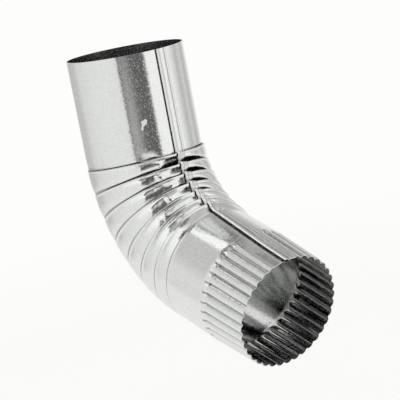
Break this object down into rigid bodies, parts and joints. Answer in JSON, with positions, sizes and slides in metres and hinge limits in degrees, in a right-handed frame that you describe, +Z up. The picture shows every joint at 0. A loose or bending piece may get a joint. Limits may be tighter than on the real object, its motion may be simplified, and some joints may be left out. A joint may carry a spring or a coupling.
{
  "type": "downspout elbow",
  "caption": "Round galvanised downspout elbow, bent by pleats, with a plain sleeve at the top and a crimped outlet that slips into the next pipe.",
  "frame": {"origin": "centre of the sleeve's mouth, the open top end", "axes": "+Z up along the sleeve's axis, out of its mouth; the elbow hangs below it and its outlet leans towards +X, in the XZ plane, where the lock seam also runs"},
  "size_m": [0.2328, 0.1042, 0.2577],
  "materials": {
    "galvanised": "polished"
  },
  "bodies": {
    "root": {"elbow": "galvanised"}
  },
  "joints": []
}
